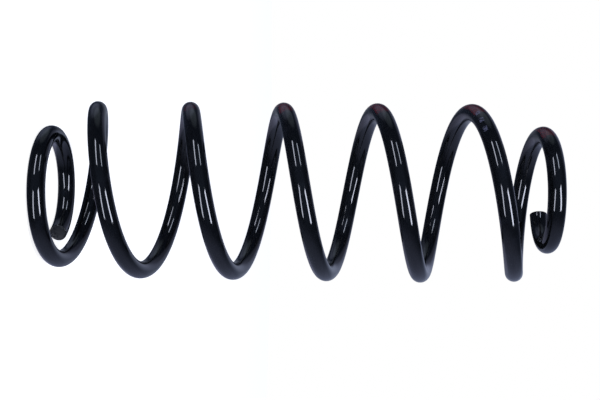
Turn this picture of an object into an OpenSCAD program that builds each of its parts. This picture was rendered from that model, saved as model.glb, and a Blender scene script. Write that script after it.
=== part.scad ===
// Coil spring of round steel wire for a car's suspension, unloaded and standing on its lower end.
// The wire is one bar, divided into arcs of an eighth of a turn by planes through the spring's axis.
// When the spring is pressed together, each arc slides straight down past its neighbours.
// Origin: centre of the lower seat. +Z runs up the spring's axis. All sizes are in millimetres.

/* [Wire] */
// Diameter of the coated wire
wire_d = 13; // [11.5:0.5:14.5]

/* [Coils] */
// Height of the unloaded spring between its two seats
free_height = 380; // [340:5:420]
// Outside diameter of the full-size middle coils
body_od = 132; // [120:1:144]
// Least gap between the wire's first turn at either end and the turn that follows it
end_gap = 1.5; // [0.5:0.5:3]

/* [Lower end] */
// Outside diameter at the lower cut end
lower_end_od = 85; // [78:1:94]
// Angle from the lower cut end along which the wire lies flat on its seat
lower_flat = 196; // [180:2:220]
// Angle from the lower cut end at which the coils reach their full pitch
lower_pitch_from = 492; // [440:4:520]
// Angle from the lower cut end at which the coils reach their full diameter
lower_taper_from = 540; // [480:4:560]

/* [Upper end] */
// Outside diameter at the upper cut end
upper_end_od = 87; // [78:1:96]
// Angle from the upper cut end along which the wire lies flat under its seat
upper_flat = 95; // [80:5:120]
// Angle from the upper cut end at which the coils reach their full pitch
upper_pitch_from = 520; // [480:10:560]
// Angle from the upper cut end along which the coil keeps its small diameter
upper_round = 108; // [90:2:120]
// Angle from the upper cut end at which the coils reach their full diameter
upper_taper_from = 495; // [460:5:540]

/* [Hidden] */

// One arc is an eighth of a turn, so that a seat plane can be met at every 45 degrees
arc_step = 45;
// The last arc is shorter, and ends at the upper cut end after 7.1 turns
last_arc = 44;
arcs = 57;
turn_angle = (arcs - 1) * arc_step + last_arc;

// Half of the thin parting gap between two arcs, as an angle about the axis
part_angle = 0.005;
// Overlength of each arc's bar before the parting planes trim it
trim_angle = 8;

// Radii of the wire's centreline
wire_r = wire_d / 2;
body_r = (body_od - wire_d) / 2;
lower_r = (lower_end_od - wire_d) / 2;
upper_r = (upper_end_od - wire_d) / 2;

// Lengths, in degrees of turn, over which the pitch grows at either end
lower_grow = lower_pitch_from - lower_flat;
upper_grow = upper_pitch_from - upper_flat;

// A smooth step from 0 to 1, and the area under it
function ease(t) = let (u = min(max(t, 0), 1)) u * u * (3 - 2 * u);
function ease_area(t) = t <= 0 ? 0 : (t >= 1 ? t - 0.5 : t * t * t - t * t * t * t / 2);

// Degrees of full pitch that the wire has climbed by angle a, from its ramps in pitch alone
function ramp_climb(a) =
    lower_grow * ease_area((a - lower_flat) / lower_grow)
    - upper_grow * ease_area((a - turn_angle + upper_pitch_from) / upper_grow);

// Height at which a coil clears the cut end below or above it, once it has opened by this much
function pass_height(opened) = sqrt(max(0, pow(wire_d + end_gap, 2) - opened * opened));

// Extra degrees of climb that give the second coil that height, or 0 where the ramps give enough
function pass_climb(opened, climbed) =
    let (pass = pass_height(opened))
    max(0, (pass * ramp_climb(turn_angle) - rise * climbed) / (rise - pass));

// Height of the centreline's upper end above its lower end
rise = free_height - wire_d;
lower_pass = pass_climb(radius(360) - lower_r, ramp_climb(360));
upper_pass = pass_climb(
    radius(turn_angle - 360) - upper_r, ramp_climb(turn_angle) - ramp_climb(turn_angle - 360)
);

// Degrees of full pitch that the wire has climbed by angle a from the lower cut end
function climb(a) =
    ramp_climb(a)
    + lower_pass * ease((a - lower_flat) / (360 - lower_flat))
    + upper_pass * ease((a - turn_angle + 360) / (360 - upper_flat));

// Height of the wire's centreline above the lower seat
function height(a) = wire_r + rise * climb(a) / climb(turn_angle);

// Radius of the wire's centreline about the axis
function radius(a) =
    lower_r
    + (body_r - lower_r) * ease(a / lower_taper_from)
    - (body_r - upper_r)
        * ease((a - turn_angle + upper_taper_from) / (upper_taper_from - upper_round));

// Point of the wire's centreline. The angle grows anticlockwise seen from above, so the coil is right-handed
function centreline(a) = [radius(a) * cos(a), radius(a) * sin(a), height(a)];

// Centre of the circle through points p, q and s
function circle_centre(p, q, s) =
    let (
        u = p - s,
        v = q - s,
        w = cross(u, v)
    )
    s + cross((u * u) * v - (v * v) * u, w) / (2 * (w * w));

// Bar bent to the circle that meets the centreline at both ends and the middle of the arc
module bent_bar(a0, a1) {
    p = centreline(a0);
    q = centreline((a0 + a1) / 2);
    s = centreline(a1);
    c = circle_centre(p, q, s);
    bend_r = norm(p - c);
    x_axis = (p - c) / bend_r;
    normal = cross(p - c, s - c);
    z_axis = normal / norm(normal);
    y_axis = cross(z_axis, x_axis);
    swept = acos((p - c) * (s - c) / (bend_r * bend_r));
    multmatrix([
        [x_axis[0], y_axis[0], z_axis[0], c[0]],
        [x_axis[1], y_axis[1], z_axis[1], c[1]],
        [x_axis[2], y_axis[2], z_axis[2], c[2]],
        [0, 0, 0, 1]
    ])
        rotate([0, 0, -trim_angle])
            rotate_extrude(angle = swept + 2 * trim_angle, $fn = 180)
                translate([bend_r, 0])
                    circle(r = wire_r, $fn = 48);
}

// Space between the two planes through the axis at angles a0 and a1
module sector(a0, a1) {
    low = height(a0) - 2 * wire_d;
    high = height(a1) + 2 * wire_d;
    inner = radius((a0 + a1) / 2) - 1.5 * wire_d;
    rotate([0, 0, a0])
        rotate_extrude(angle = a1 - a0, $fn = 90)
            translate([inner, low])
                square([3 * wire_d, high - low]);
}

// Arc number i of the wire, counted from 0 at the lower cut end
module wire_arc(i) {
    a0 = i * arc_step;
    a1 = i == arcs - 1 ? turn_angle : a0 + arc_step;
    color("#15161a")
        intersection() {
            bent_bar(a0, a1);
            sector(i == 0 ? a0 : a0 + part_angle, i == arcs - 1 ? a1 : a1 - part_angle);
        }
}

// Lower cut end and first eighth of a turn, flat on the lower seat
module lower_cut_end() { wire_arc(0); }
// Rest of the lower end coil
module coil_1_arc_2() { wire_arc(1); }
module coil_1_arc_3() { wire_arc(2); }
module coil_1_arc_4() { wire_arc(3); }
module coil_1_arc_5() { wire_arc(4); }
module coil_1_arc_6() { wire_arc(5); }
module coil_1_arc_7() { wire_arc(6); }
module coil_1_arc_8() { wire_arc(7); }
// Turn 2
module coil_2_arc_1() { wire_arc(8); }
module coil_2_arc_2() { wire_arc(9); }
module coil_2_arc_3() { wire_arc(10); }
module coil_2_arc_4() { wire_arc(11); }
module coil_2_arc_5() { wire_arc(12); }
module coil_2_arc_6() { wire_arc(13); }
module coil_2_arc_7() { wire_arc(14); }
module coil_2_arc_8() { wire_arc(15); }
// Turn 3
module coil_3_arc_1() { wire_arc(16); }
module coil_3_arc_2() { wire_arc(17); }
module coil_3_arc_3() { wire_arc(18); }
module coil_3_arc_4() { wire_arc(19); }
module coil_3_arc_5() { wire_arc(20); }
module coil_3_arc_6() { wire_arc(21); }
module coil_3_arc_7() { wire_arc(22); }
module coil_3_arc_8() { wire_arc(23); }
// Turn 4
module coil_4_arc_1() { wire_arc(24); }
module coil_4_arc_2() { wire_arc(25); }
module coil_4_arc_3() { wire_arc(26); }
module coil_4_arc_4() { wire_arc(27); }
module coil_4_arc_5() { wire_arc(28); }
module coil_4_arc_6() { wire_arc(29); }
module coil_4_arc_7() { wire_arc(30); }
module coil_4_arc_8() { wire_arc(31); }
// Turn 5
module coil_5_arc_1() { wire_arc(32); }
module coil_5_arc_2() { wire_arc(33); }
module coil_5_arc_3() { wire_arc(34); }
module coil_5_arc_4() { wire_arc(35); }
module coil_5_arc_5() { wire_arc(36); }
module coil_5_arc_6() { wire_arc(37); }
module coil_5_arc_7() { wire_arc(38); }
module coil_5_arc_8() { wire_arc(39); }
// Turn 6
module coil_6_arc_1() { wire_arc(40); }
module coil_6_arc_2() { wire_arc(41); }
module coil_6_arc_3() { wire_arc(42); }
module coil_6_arc_4() { wire_arc(43); }
module coil_6_arc_5() { wire_arc(44); }
module coil_6_arc_6() { wire_arc(45); }
module coil_6_arc_7() { wire_arc(46); }
module coil_6_arc_8() { wire_arc(47); }
// Turn 7
module coil_7_arc_1() { wire_arc(48); }
module coil_7_arc_2() { wire_arc(49); }
module coil_7_arc_3() { wire_arc(50); }
module coil_7_arc_4() { wire_arc(51); }
module coil_7_arc_5() { wire_arc(52); }
module coil_7_arc_6() { wire_arc(53); }
module coil_7_arc_7() { wire_arc(54); }
module coil_7_arc_8() { wire_arc(55); }
// Upper cut end, flat under the upper seat
module upper_cut_end() { wire_arc(56); }

lower_cut_end();
coil_1_arc_2();
coil_1_arc_3();
coil_1_arc_4();
coil_1_arc_5();
coil_1_arc_6();
coil_1_arc_7();
coil_1_arc_8();
coil_2_arc_1();
coil_2_arc_2();
coil_2_arc_3();
coil_2_arc_4();
coil_2_arc_5();
coil_2_arc_6();
coil_2_arc_7();
coil_2_arc_8();
coil_3_arc_1();
coil_3_arc_2();
coil_3_arc_3();
coil_3_arc_4();
coil_3_arc_5();
coil_3_arc_6();
coil_3_arc_7();
coil_3_arc_8();
coil_4_arc_1();
coil_4_arc_2();
coil_4_arc_3();
coil_4_arc_4();
coil_4_arc_5();
coil_4_arc_6();
coil_4_arc_7();
coil_4_arc_8();
coil_5_arc_1();
coil_5_arc_2();
coil_5_arc_3();
coil_5_arc_4();
coil_5_arc_5();
coil_5_arc_6();
coil_5_arc_7();
coil_5_arc_8();
coil_6_arc_1();
coil_6_arc_2();
coil_6_arc_3();
coil_6_arc_4();
coil_6_arc_5();
coil_6_arc_6();
coil_6_arc_7();
coil_6_arc_8();
coil_7_arc_1();
coil_7_arc_2();
coil_7_arc_3();
coil_7_arc_4();
coil_7_arc_5();
coil_7_arc_6();
coil_7_arc_7();
coil_7_arc_8();
upper_cut_end();
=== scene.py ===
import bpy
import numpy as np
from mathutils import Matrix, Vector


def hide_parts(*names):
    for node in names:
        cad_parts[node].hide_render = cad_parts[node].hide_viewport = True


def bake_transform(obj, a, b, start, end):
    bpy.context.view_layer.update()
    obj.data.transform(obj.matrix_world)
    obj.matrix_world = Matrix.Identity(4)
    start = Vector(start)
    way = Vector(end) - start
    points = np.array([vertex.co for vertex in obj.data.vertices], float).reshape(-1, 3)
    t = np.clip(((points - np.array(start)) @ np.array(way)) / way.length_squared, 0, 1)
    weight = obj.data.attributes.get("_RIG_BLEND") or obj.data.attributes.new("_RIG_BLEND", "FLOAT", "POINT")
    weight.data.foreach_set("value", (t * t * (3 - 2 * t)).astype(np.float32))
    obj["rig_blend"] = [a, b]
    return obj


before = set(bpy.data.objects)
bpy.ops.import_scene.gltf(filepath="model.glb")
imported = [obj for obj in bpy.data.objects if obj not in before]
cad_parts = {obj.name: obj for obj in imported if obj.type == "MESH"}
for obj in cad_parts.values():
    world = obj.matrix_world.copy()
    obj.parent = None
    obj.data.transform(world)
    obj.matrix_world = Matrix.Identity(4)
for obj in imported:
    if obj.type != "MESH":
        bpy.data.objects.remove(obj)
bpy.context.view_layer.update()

# %% [markdown]
# # A coil spring for a car's front strut
#
# The real part is one bar of spring steel, about 2.5 m long and 13 mm thick, wound hot or
# cold round a mandrel, shot-peened, and sprayed with black powder that melts into a thick,
# glossy skin. There is nothing else in it. So all of its beauty is in one line: how the
# bar leaves its flat seat, opens to its full diameter and pitch, and closes again.
#
# The same line is worked out here, from the same sizes in millimetres that the packed
# model has: a radius and a height for every angle along the wire.

# %% The wire's own sizes
from math import atan2, cos, degrees, pi, radians, sin, tan

WIRE_D = 13.0
FREE_HEIGHT = 380.0
BODY_OD, LOWER_OD, UPPER_OD = 132.0, 85.0, 87.0
WOUND = 2564.0
LOWER_FLAT, LOWER_PITCH, LOWER_TAPER = 196.0, 492.0, 540.0
UPPER_FLAT, UPPER_PITCH, UPPER_ROUND, UPPER_TAPER = 95.0, 520.0, 108.0, 495.0

wire_r = WIRE_D / 2
body_r, lower_r, upper_r = [(od - WIRE_D) / 2 for od in (BODY_OD, LOWER_OD, UPPER_OD)]
print("turns", round(WOUND / 360, 2), "spring index", round(2 * body_r / WIRE_D, 1))


# %% A smooth step, and the area under it
def ease(t):
    u = min(max(t, 0.0), 1.0)
    return u * u * (3 - 2 * u)


def ease_area(t):
    if t <= 0:
        return 0.0
    return t - 0.5 if t >= 1 else t**3 - t**4 / 2


# %% How far the wire has climbed at an angle from its lower cut end
def climb(a):
    lower_grow, upper_grow = LOWER_PITCH - LOWER_FLAT, UPPER_PITCH - UPPER_FLAT
    up = lower_grow * ease_area((a - LOWER_FLAT) / lower_grow)
    return up - upper_grow * ease_area((a - WOUND + UPPER_PITCH) / upper_grow)


def share(a):
    return climb(a) / climb(WOUND)


def height(a):
    return wire_r + (FREE_HEIGHT - WIRE_D) * share(a)


print("pitch in mm", round(360 * (FREE_HEIGHT - WIRE_D) / climb(WOUND), 1))


# %% How far the wire stands from the axis
def radius(a):
    opened = (body_r - lower_r) * ease(a / LOWER_TAPER)
    closed = ease((a - WOUND + UPPER_TAPER) / (UPPER_TAPER - UPPER_ROUND))
    return lower_r + opened - (body_r - upper_r) * closed


for a in (0, LOWER_TAPER, WOUND / 2, WOUND):
    print("angle", a, "radius", round(radius(a), 1), "height", round(height(a), 1))

# %% [markdown]
# ## Frames along the wire
#
# A round bar could be drawn as a curve with a bevel depth, or as a circle that a Screw
# modifier turns. The curve hides its cross-sections, and the screw knows only one radius
# and one pitch. Here a circle is extruded from one frame to the next instead. Each frame
# stands square to the wire: x points away from the spring's axis and z runs along the bar.

# %% The frame of one cross-section, in metres
from mathutils import Matrix, Vector


def centreline(a):
    r = radius(a)
    return Vector((r * cos(radians(a)), r * sin(radians(a)), height(a))) / 1000


def section_frame(a):
    here = centreline(a)
    along = (centreline(a + 0.5) - centreline(a - 0.5)).normalized()
    if a <= 0 or a >= WOUND:
        along = Vector((-sin(radians(a)), cos(radians(a)), 0))
    outward = Vector((cos(radians(a)), sin(radians(a)), 0))
    outward = (outward - along * outward.dot(along)).normalized()
    across = along.cross(outward)
    turned = Matrix((outward, across, along)).transposed().to_4x4()
    return Matrix.Translation(here) @ turned


climb_per_radian = (FREE_HEIGHT - WIRE_D) / climb(WOUND) * 180 / pi
helix_angle = degrees(atan2(climb_per_radian, body_r))
print("helix angle of the middle coils", round(helix_angle, 1))

# %% [markdown]
# ## The bar
#
# `create_circle` makes the first section, and `extrude_edge_only` with `transform` carries
# it along in steps of about 3 degrees, which is 3.1 mm of wire: short enough for smooth
# shading to hide the facets. With 48 sides the outline of a 13 mm bar is round close up.

# %% Extrude the section along the wire
import bmesh
import bpy

SIDES = 48
SECTIONS = 855
STEP = WOUND / SECTIONS

bar = bmesh.new()
bmesh.ops.create_circle(
    bar, cap_ends=False, segments=SIDES, radius=wire_r / 1000, matrix=section_frame(0)
)
rim = bar.edges[:]
lower_rim = rim
at = section_frame(0)
for k in range(1, SECTIONS + 1):
    to = section_frame(k * STEP)
    grown = bmesh.ops.extrude_edge_only(bar, edges=rim)["geom"]
    ring = {v for v in grown if isinstance(v, bmesh.types.BMVert)}
    rim = [
        e
        for e in grown
        if isinstance(e, bmesh.types.BMEdge) and e.verts[0] in ring and e.verts[1] in ring
    ]
    bmesh.ops.transform(bar, matrix=to @ at.inverted(), verts=list(ring))
    at = to
upper_rim = rim
print("sections", SECTIONS + 1, "faces", len(bar.faces))

# %% [markdown]
# ## The cut ends
#
# The bar is cropped in a shear, not sawn. The blade rolls the edge over, then tears the
# rest, so the face is a little hollow and uneven, and the powder has rounded its rim. The
# rim is filled, bevelled, and inset in steps, and the inner rings are pushed in and jogged
# by a fraction of a millimetre.

# %% Close and dress both ends
from random import Random

shear = Random(7)
EDGE_ROLL = 0.0005
HOLLOW_STEPS = ((0.0009, 0.00012), (0.0014, 0.00022), (0.0016, 0.0001))
JOG = 0.00008


def dress_end(edges, centre, inward):
    face = bmesh.ops.holes_fill(bar, edges=edges, sides=0)["faces"][0]
    bmesh.ops.bevel(
        bar, geom=list(face.edges), offset=EDGE_ROLL, offset_type="OFFSET", affect="EDGES",
        segments=3, profile=0.5, material=-1, clamp_overlap=True,
    )
    cut = min(
        (f for f in bar.faces if len(f.verts) >= SIDES),
        key=lambda f: (f.calc_center_median() - centre).length,
    )
    for thickness, depth in HOLLOW_STEPS:
        bmesh.ops.inset_region(
            bar, faces=[cut], thickness=thickness, depth=0, use_even_offset=True
        )
        for v in cut.verts:
            v.co += inward * (depth + shear.uniform(-JOG, JOG))


last = radians(WOUND)
dress_end(lower_rim, centreline(0), Vector((0, 1, 0)))
dress_end(upper_rim, centreline(WOUND), Vector((sin(last), -cos(last), 0)))
bmesh.ops.recalc_face_normals(bar, faces=bar.faces[:])
print("bar closed", all(e.is_manifold for e in bar.edges), "faces", len(bar.faces))

# %% Make it an object
wire_mesh = bpy.data.meshes.new("spring_wire")
bar.to_mesh(wire_mesh)
bar.free()
wire_mesh.shade_smooth()
wire = bpy.data.objects.new("spring_wire", wire_mesh)
bpy.context.scene.collection.objects.link(wire)
print("triangles", sum(len(p.vertices) - 2 for p in wire_mesh.polygons))

# %% [markdown]
# ## Where a point lies on the wire
#
# Paint marks and dust have to stay on the steel when the spring is pressed together. A
# pattern on Object coordinates would slide over the coils, so each vertex is told once
# where it lies: its angle along the wire, which way it faces from the wire's middle, and
# its place at rest. The materials read only these.

# %% Measure each vertex along and round the wire
import numpy as np

places = np.array([v.co for v in wire_mesh.vertices]) * 1000
FINE = 0.25
line = np.array([centreline(a) for a in np.arange(0, WOUND + FINE, FINE)]) * 1000
phase = np.degrees(np.arctan2(places[:, 1], places[:, 0])) % 360
turn = np.zeros(len(places))
nearest = np.full(len(places), np.inf)
for lap in range(int(WOUND // 360) + 1):
    a = np.clip(phase + 360 * lap, 0, WOUND)
    off = np.linalg.norm(places - line[np.rint(a / FINE).astype(int)], axis=1)
    closer = off < nearest
    turn[closer], nearest[closer] = a[closer], off[closer]
print("furthest from the middle of the wire in mm", round(float(nearest.max()), 2))

# %% Store them on the mesh
out_way = np.stack([np.cos(np.radians(turn)), np.sin(np.radians(turn)), 0 * turn], 1)
from_middle = places - line[np.rint(turn / FINE).astype(int)]
faces_out = (from_middle * out_way).sum(1) / wire_r
faces_up = from_middle[:, 2] / wire_r
for name, values in (("turn", turn), ("faces_out", faces_out), ("faces_up", faces_up)):
    layer = wire_mesh.attributes.new(name, "FLOAT", "POINT")
    layer.data.foreach_set("value", values.astype(np.float32))
rest = wire_mesh.attributes.new("rest_mm", "FLOAT_VECTOR", "POINT")
rest.data.foreach_set("vector", places.astype(np.float32).ravel())
print("stored", [a.name for a in wire_mesh.attributes if a.name[0] != "."])

# %% [markdown]
# ## Colours and nodes
#
# Colours are picked as sRGB hex values, because that is what a paint card or a screen
# gives. The shader wants linear light, so one function turns them. One more function adds
# any node: its settings go in by name, and each socket takes a value or another node's
# output. Every finish below is built from it, and starts as an empty node tree.


# %% Three helpers
def linear(hex_colour):
    parts = [int(hex_colour[i : i + 2], 16) / 255 for i in (1, 3, 5)]
    return (*[p / 12.92 if p <= 0.04045 else ((p + 0.055) / 1.055) ** 2.4 for p in parts], 1)


def add_node(tree, kind, sockets=None, out=0, **settings):
    node = tree.nodes.new(kind)
    for key, value in settings.items():
        setattr(node, key, value)
    for key, value in (sockets or {}).items():
        if isinstance(value, bpy.types.NodeSocket):
            tree.links.new(value, node.inputs[key])
        else:
            node.inputs[key].default_value = value
    return node.outputs[out] if node.outputs else None


def new_finish(name):
    finish = bpy.data.materials.new(name)
    finish.use_nodes = True
    finish.node_tree.nodes.clear()
    return finish, finish.node_tree


print("black coat in linear light", [round(c, 4) for c in linear("#07080a")])

# %% [markdown]
# ## Gloss black powder coat
#
# Polyester powder is baked at about 190 degrees, flows out, and sets with a faint orange
# peel. It is a clear binder full of carbon black, so the base is almost black, the gloss is
# that of a plastic (IOR 1.5), and only the reflections give the eye a shape to read. Real
# peel has waves of 1 to 3 mm. It is drawn at 7 mm here, the finest that still shows.
#
# On top lie the marks of a working part: dust in patches, a dull rubbed band where the end
# coils sit on their seats, a dab of dark red paint across the outside of the coils that
# tells the assembly line which spring it is, and a few smudged strokes of pale ink.
#
# A mark is a mask: a number from 0 to 1 at every point. Each is described by limits on where
# a point lies, and a soft step at every limit keeps its edge from looking cut out.

# %% Coat: what the marks read
powder_coat, coat = new_finish("GlossBlackPowderCoat_CarbonSpringSteel")
rest_read = add_node(coat, "ShaderNodeAttribute", out="Vector", attribute_name="rest_mm")
turn_read = add_node(coat, "ShaderNodeAttribute", out="Fac", attribute_name="turn")
out_read = add_node(coat, "ShaderNodeAttribute", out="Fac", attribute_name="faces_out")
up_read = add_node(coat, "ShaderNodeAttribute", out="Fac", attribute_name="faces_up")
print("coat nodes", len(coat.nodes))

# %% Coat: one cloud of noise for each mark, with the size of its waves in millimetres
clouds = {}
for mark, wave_mm, detail, roughness in (
    ("dust", 22, 4, 0.62),
    ("specks", 1.6, 1, 0.5),
    ("rubbing", 6, 3, 0.6),
    ("paint edge", 5, 3, 0.65),
    ("ink", 1.7, 2, 0.6),
    ("peel", 7, 0, 0.5),
):
    clouds[mark] = add_node(
        coat, "ShaderNodeTexNoise",
        {"Vector": rest_read, "Scale": 1 / wave_mm, "Detail": detail, "Roughness": roughness},
    )
print("clouds", list(clouds))


# %% A mask that is 1 inside all of its limits
# A limit is a reading, the value at which the mark is gone, and the one at which it is full.
def inside(tree, *limits):
    mask = 1.0
    for value, nothing, full in limits:
        step = add_node(
            tree, "ShaderNodeMapRange",
            {"Value": value, "From Min": nothing, "From Max": full},
            interpolation_type="SMOOTHSTEP",
        )
        mask = add_node(tree, "ShaderNodeMath", {0: mask, 1: step}, operation="MULTIPLY")
    return mask


# %% Coat: dust, and seats rubbed dull
dust = inside(coat, (clouds["dust"], 0.5, 0.78))
specks = inside(coat, (clouds["specks"], 0.7, 0.8))
seat_low = inside(coat, (turn_read, 330, 180), (up_read, -0.55, -0.9))
seat_top = inside(coat, (turn_read, WOUND - 190, WOUND - 90), (up_read, 0.55, 0.9))
seats = add_node(coat, "ShaderNodeMath", {0: seat_low, 1: seat_top}, operation="MAXIMUM")
patchy = inside(coat, (clouds["rubbing"], 0.3, 0.6))
rubbed = add_node(coat, "ShaderNodeMath", {0: seats, 1: patchy}, operation="MULTIPLY")
print("coat nodes", len(coat.nodes))

# %% Coat: red identification paint across the outside of each lap, at places in degrees
DAB_AT = 169.0
PAINT_STARTS, PAINT_FULL, PAINT_ENDS = 700, 1200, 2420
RAGGED = 9.0
from_dab = add_node(coat, "ShaderNodeMath", {0: turn_read, 1: DAB_AT}, operation="SUBTRACT")
past_dab = add_node(
    coat, "ShaderNodeMath", {0: from_dab, 1: 180.0, 2: -180.0}, operation="WRAP"
)
ragged_edge = add_node(
    coat, "ShaderNodeMath",
    {0: clouds["paint edge"], 1: RAGGED, 2: -RAGGED / 2}, operation="MULTIPLY_ADD",
)
along_dab = add_node(coat, "ShaderNodeMath", {0: past_dab, 1: ragged_edge}, operation="ADD")
red_paint = inside(
    coat,
    (along_dab, -14, -11), (along_dab, 19, 14),
    (up_read, 0.7, 0.45), (out_read, 0.42, 0.6),
    (turn_read, PAINT_STARTS, PAINT_FULL), (turn_read, PAINT_ENDS, PAINT_ENDS - 20),
)
print("coat nodes", len(coat.nodes))

# %% Coat: smudged strokes of pale ink on one coil
INK_FROM, INK_TO, STROKE_EVERY = 1983.0, 2009.0, 9.0
from_ink = add_node(coat, "ShaderNodeMath", {0: turn_read, 1: INK_FROM}, operation="SUBTRACT")
stroke = add_node(coat, "ShaderNodeMath", {0: from_ink, 1: STROKE_EVERY}, operation="MODULO")
ink = inside(
    coat,
    (turn_read, INK_FROM, INK_FROM + 0.8), (turn_read, INK_TO, INK_TO - 0.8),
    (stroke, 0.4, 1.2), (stroke, 5.2, 4.4),
    (up_read, -0.8, -0.7), (up_read, -0.25, -0.35), (out_read, 0.3, 0.5),
    (clouds["ink"], 0.42, 0.52),
)
print("coat nodes", len(coat.nodes))

# %% Coat: lay each mark over the last, with how much it covers and how dull it is
skin, dull = linear("#07080a"), 0.07
for mark, cover, colour, dulls in (
    (dust, 1.0, "#101217", 0.06),
    (specks, 0.25, "#2b2d33", 0.0),
    (rubbed, 1.0, "#24262b", 0.3),
    (red_paint, 1.0, "#36060a", 0.08),
    (ink, 0.45, "#5a5d78", 0.25),
):
    amount = add_node(coat, "ShaderNodeMath", {0: mark, 1: cover}, operation="MULTIPLY")
    skin = add_node(
        coat, "ShaderNodeMix", {0: amount, 6: skin, 7: linear(colour)}, out=2, data_type="RGBA"
    )
    dull = add_node(
        coat, "ShaderNodeMath", {0: mark, 1: dulls, 2: dull}, operation="MULTIPLY_ADD"
    )
print("coat nodes", len(coat.nodes))

# %% Coat: orange peel and shader
peel = add_node(
    coat, "ShaderNodeBump", {"Height": clouds["peel"], "Strength": 0.1, "Distance": 0.0004}
)
coat_shader = add_node(
    coat, "ShaderNodeBsdfPrincipled",
    {"Base Color": skin, "Roughness": dull, "Normal": peel, "IOR": 1.5, "Metallic": 0.0},
)
add_node(coat, "ShaderNodeOutputMaterial", {"Surface": coat_shader})
wire_mesh.materials.append(powder_coat)
print("coat nodes", len(coat.nodes))

# %% [markdown]
# ## The sheared faces
#
# The same powder lies on the cropped ends, but the torn steel under it is coarse, so the
# coat is thin on its high spots and looks dull and grainy. It has a finish of its own, with
# a bump from torn grain about 1 mm across.

# %% Cropped end finish
cropped, torn = new_finish("PowderCoat_OverShearCroppedSteel")
GRAINS_PER_MM = 0.9
torn_place = add_node(torn, "ShaderNodeAttribute", out="Vector", attribute_name="rest_mm")
grain = add_node(
    torn, "ShaderNodeTexNoise",
    {"Vector": torn_place, "Scale": GRAINS_PER_MM, "Detail": 4.0, "Roughness": 0.65},
)
high_spots = add_node(
    torn, "ShaderNodeMapRange", {"Value": grain, "From Min": 0.45, "From Max": 0.7}
)
torn_colour = add_node(
    torn, "ShaderNodeMix", {0: high_spots, 6: linear("#0a0b0c"), 7: linear("#1f2125")},
    out=2, data_type="RGBA",
)
torn_dull = add_node(
    torn, "ShaderNodeMath", {0: high_spots, 1: 0.25, 2: 0.3}, operation="MULTIPLY_ADD"
)
torn_bump = add_node(
    torn, "ShaderNodeBump", {"Height": grain, "Strength": 0.6, "Distance": 0.0006}
)
torn_shader = add_node(
    torn, "ShaderNodeBsdfPrincipled",
    {
        "Base Color": torn_colour, "Roughness": torn_dull, "Normal": torn_bump,
        "IOR": 1.5, "Metallic": 0.0,
    },
)
add_node(torn, "ShaderNodeOutputMaterial", {"Surface": torn_shader})
wire_mesh.materials.append(cropped)
print("cropped end nodes", len(torn.nodes))

# %% Give it to the faces that look along the wire
NEAR_END, LOOKS_ALONG = 1.05 * wire_r / 1000, 0.8
end_faces = 0
for face in wire_mesh.polygons:
    for end, way in ((0.0, -1), (WOUND, 1)):
        along = Vector((-sin(radians(end)), cos(radians(end)), 0)) * way
        near = (face.center - centreline(end)).length < NEAR_END
        if near and face.normal.dot(along) > LOOKS_ALONG:
            face.material_index = 1
            end_faces += 1
print("faces of cropped steel", end_faces)

# %% [markdown]
# ## How it moves
#
# Pressed between its seats, the wire twists a little all along its length, and every coil
# comes down by its share of the travel. So one mesh bends between the two end coils. The
# share is the same one that gives the wire its height, which keeps the coils evenly
# spaced, as steel does, where a plain smooth step would crowd them in the middle.

# %% Bend the wire between the two end coils
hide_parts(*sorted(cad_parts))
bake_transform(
    wire, "lower_end_coil", "upper_end_coil",
    start=(0, 0, wire_r / 1000), end=(0, 0, (FREE_HEIGHT - wire_r) / 1000),
)
shares = np.array([share(a) for a in turn], np.float32)
wire.data.attributes["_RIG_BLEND"].data.foreach_set("value", shares)
print("share at the middle coil", round(share(WOUND / 2), 3))

# %% [markdown]
# ## Camera and studio
#
# The spring is shown lying across the picture, seen from its side, so the camera is rolled
# until the axis runs from left to right. It is close, 0.78 m away, which opens up the
# inside of the near coils.

# %% Camera
AWAY = 0.778
AIM_LOW = 0.0061
FRAME_WIDTH, LENS = 36.0, 62.83
middle_of_spring = Vector((0, 0, 0.1915))
side_seen, yaw, tilt, roll = radians(66.36), radians(-2.30), radians(1.34), radians(0.72)
axis_right = Vector((0, 0, 1))
picture_up = Vector((-sin(side_seen), cos(side_seen), 0))
to_viewer = Vector((-cos(side_seen), -sin(side_seen), 0))
right = axis_right * cos(yaw) + to_viewer * sin(yaw)
toward_camera = to_viewer * cos(yaw) - axis_right * sin(yaw)
up = picture_up * cos(tilt) + toward_camera * sin(tilt)
back = toward_camera * cos(tilt) - picture_up * sin(tilt)
right, up = right * cos(roll) + up * sin(roll), up * cos(roll) - right * sin(roll)

camera_data = bpy.data.cameras.new("studio_camera")
camera_data.sensor_width = FRAME_WIDTH
camera_data.lens = LENS
camera = bpy.data.objects.new("studio_camera", camera_data)
looks = Matrix((right, up, back)).transposed().to_4x4()
stands_at = middle_of_spring + back * AWAY - up * AIM_LOW
camera.matrix_world = Matrix.Translation(stands_at) @ looks
bpy.context.scene.collection.objects.link(camera)
bpy.context.scene.camera = camera
print("camera at", [round(v, 3) for v in camera.matrix_world.translation])

# %% [markdown]
# ## Soft boxes and the room
#
# Black gloss shows only what it reflects. Four narrow soft boxes stand about the camera, two
# above and two below the line of sight, and each draws one thin streak down every strand of
# wire. Between them the studio is dark, with soft patches of dim light. The brightest patch
# lies below the line of sight and turns the lower side of the lying coils a soft blue grey.
#
# A box is placed by the angles at which the spring sees it, in degrees: how far to the right
# of the camera and how far above it, half of its width and of its height, and its lean.


# %% Lights
BOX_AWAY = 1.15


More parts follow.
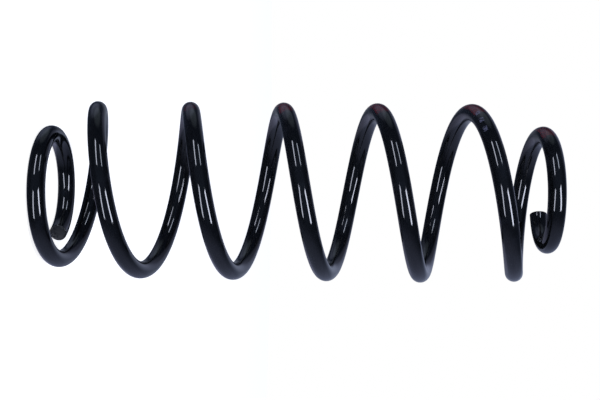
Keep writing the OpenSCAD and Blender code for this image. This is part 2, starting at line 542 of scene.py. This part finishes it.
def soft_box(name, sideways, upwards, wide, high, lean, power, colour="#e6ecff"):
    e, s = radians(upwards), radians(sideways)
    way = right * (sin(s) * cos(e)) + up * sin(e) + back * (cos(s) * cos(e))
    data = bpy.data.lights.new(name, "AREA")
    data.shape = "RECTANGLE"
    data.size = 2 * BOX_AWAY * tan(radians(wide))
    data.size_y = 2 * BOX_AWAY * tan(radians(high))
    data.energy = power
    data.color = linear(colour)[:3]
    lamp = bpy.data.objects.new(name, data)
    across = up.cross(way).normalized()
    turned = Matrix((across, way.cross(across), way)).transposed().to_4x4()
    turned = turned @ Matrix.Rotation(radians(lean), 4, "Z")
    lamp.matrix_world = Matrix.Translation(middle_of_spring + way * BOX_AWAY) @ turned
    bpy.context.scene.collection.objects.link(lamp)


soft_box("soft_box_low_left", -33, -15, wide=5, high=19.5, lean=-21, power=6.8)
soft_box("soft_box_low_right", 41, -10, wide=6.5, high=18.5, lean=23, power=13.0)
soft_box("soft_box_high_left", -32, 43, wide=4, high=16, lean=17, power=4.3)
soft_box(
    "soft_box_high_right", 39, 48, wide=3.2, high=13, lean=-10, power=2.3, colour="#dfeaff"
)

# %% Room: a dark studio with patches of light, each brightest in the middle of its way
DARK_STUDIO = (0.03, 0.04, 0.07, 1)
PLAIN_WHITE = (1.0, 1.0, 1.0, 1)

room = bpy.data.worlds.new("studio_room")
room.use_nodes = True
sky = room.node_tree
sky.nodes.clear()
any_way = add_node(sky, "ShaderNodeTexCoord", out="Generated")


def glow_patch(under, way, starts, full, colour):
    facing = add_node(
        sky, "ShaderNodeVectorMath", {0: any_way, 1: way.normalized()},
        out="Value", operation="DOT_PRODUCT",
    )
    return add_node(
        sky, "ShaderNodeMix",
        {0: inside(sky, (facing, starts, full)), 6: under, 7: (*colour, 1)},
        out=2, data_type="RGBA", blend_type="ADD",
    )


# Each row is the way to a patch, the cosines at which it starts and is full, and its light.
room_light = DARK_STUDIO
for way, starts, full, colour in (
    (back + up * 0.2, 0.3, 0.95, (0.06, 0.08, 0.12)),
    (-up - back * 0.35, 0.35, 0.95, (0.26, 0.29, 0.44)),
    (up - back * 0.38, 0.9, 0.975, (0.19, 0.23, 0.26)),
    (right * 0.1 - back, 0.85, 0.98, (0.13, 0.14, 0.17)),
    (right * 0.68 + up * 0.28 - back * 0.68, 0.84, 0.97, (0.17, 0.18, 0.26)),
    (right * 0.5 - back * 0.86, 0.9, 0.985, (0.10, 0.115, 0.17)),
    (right * 0.5 - up * 0.15 - back * 0.85, 0.8, 0.97, (0.055, 0.065, 0.095)),
    (-right * 0.5 - up * 0.32 - back * 0.8, 0.9, 0.98, (0.20, 0.20, 0.29)),
    (-right * 0.28 + up * 0.75 - back * 0.6, 0.9, 0.98, (0.18, 0.20, 0.28)),
):
    room_light = glow_patch(room_light, way, starts, full, colour)
print("room nodes", len(sky.nodes))

# %% Room: plain white to the camera, the studio to the wire and the floor
seen = add_node(sky, "ShaderNodeLightPath", out="Is Camera Ray")
shown = add_node(
    sky, "ShaderNodeMix", {0: seen, 6: room_light, 7: PLAIN_WHITE}, out=2, data_type="RGBA"
)
glow = add_node(sky, "ShaderNodeBackground", {"Color": shown})
add_node(sky, "ShaderNodeOutputWorld", {"Surface": glow})
bpy.context.scene.world = room
bpy.context.scene.view_settings.view_transform = "Standard"
print("world", room.name)

# %% [markdown]
# ## Floor
#
# The spring stands on a pale matt sheet. It glows a little by itself, so that it stays as
# white as the room behind it, and the gloss of the wire doesn't pick it up. Pressed paper
# has faint clouds of fibre about 5.5 mm across.

# %% Floor
FLOOR_RADIUS, FLOOR_BELOW = 2.5, 0.0002

pad = bmesh.new()
bmesh.ops.create_circle(
    pad, cap_ends=True, segments=96, radius=FLOOR_RADIUS,
    matrix=Matrix.Translation((0, 0, -FLOOR_BELOW)),
)
pad_mesh = bpy.data.meshes.new("studio_floor")
pad.to_mesh(pad_mesh)
pad.free()
floor = bpy.data.objects.new("studio_floor", pad_mesh)
bpy.context.scene.collection.objects.link(floor)
print("floor", floor.name)

# %% Paper for it
sheet, paper = new_finish("MattWhiteStudioPaper")
FIBRE_CLOUD = 0.0055
place = add_node(paper, "ShaderNodeTexCoord", out="Object")
fibre = add_node(
    paper, "ShaderNodeTexNoise", {"Vector": place, "Scale": 1 / FIBRE_CLOUD, "Detail": 2.0}
)
tone = add_node(
    paper, "ShaderNodeMix", {0: fibre, 6: linear("#ececec"), 7: linear("#f4f4f4")},
    out=2, data_type="RGBA",
)
paper_shader = add_node(
    paper, "ShaderNodeBsdfPrincipled",
    {
        "Base Color": tone, "Roughness": 0.9,
        "Emission Color": (1, 1, 1, 1), "Emission Strength": 0.86,
    },
)
add_node(paper, "ShaderNodeOutputMaterial", {"Surface": paper_shader})
pad_mesh.materials.append(sheet)
floor.visible_glossy = False
print("paper nodes", len(paper.nodes))
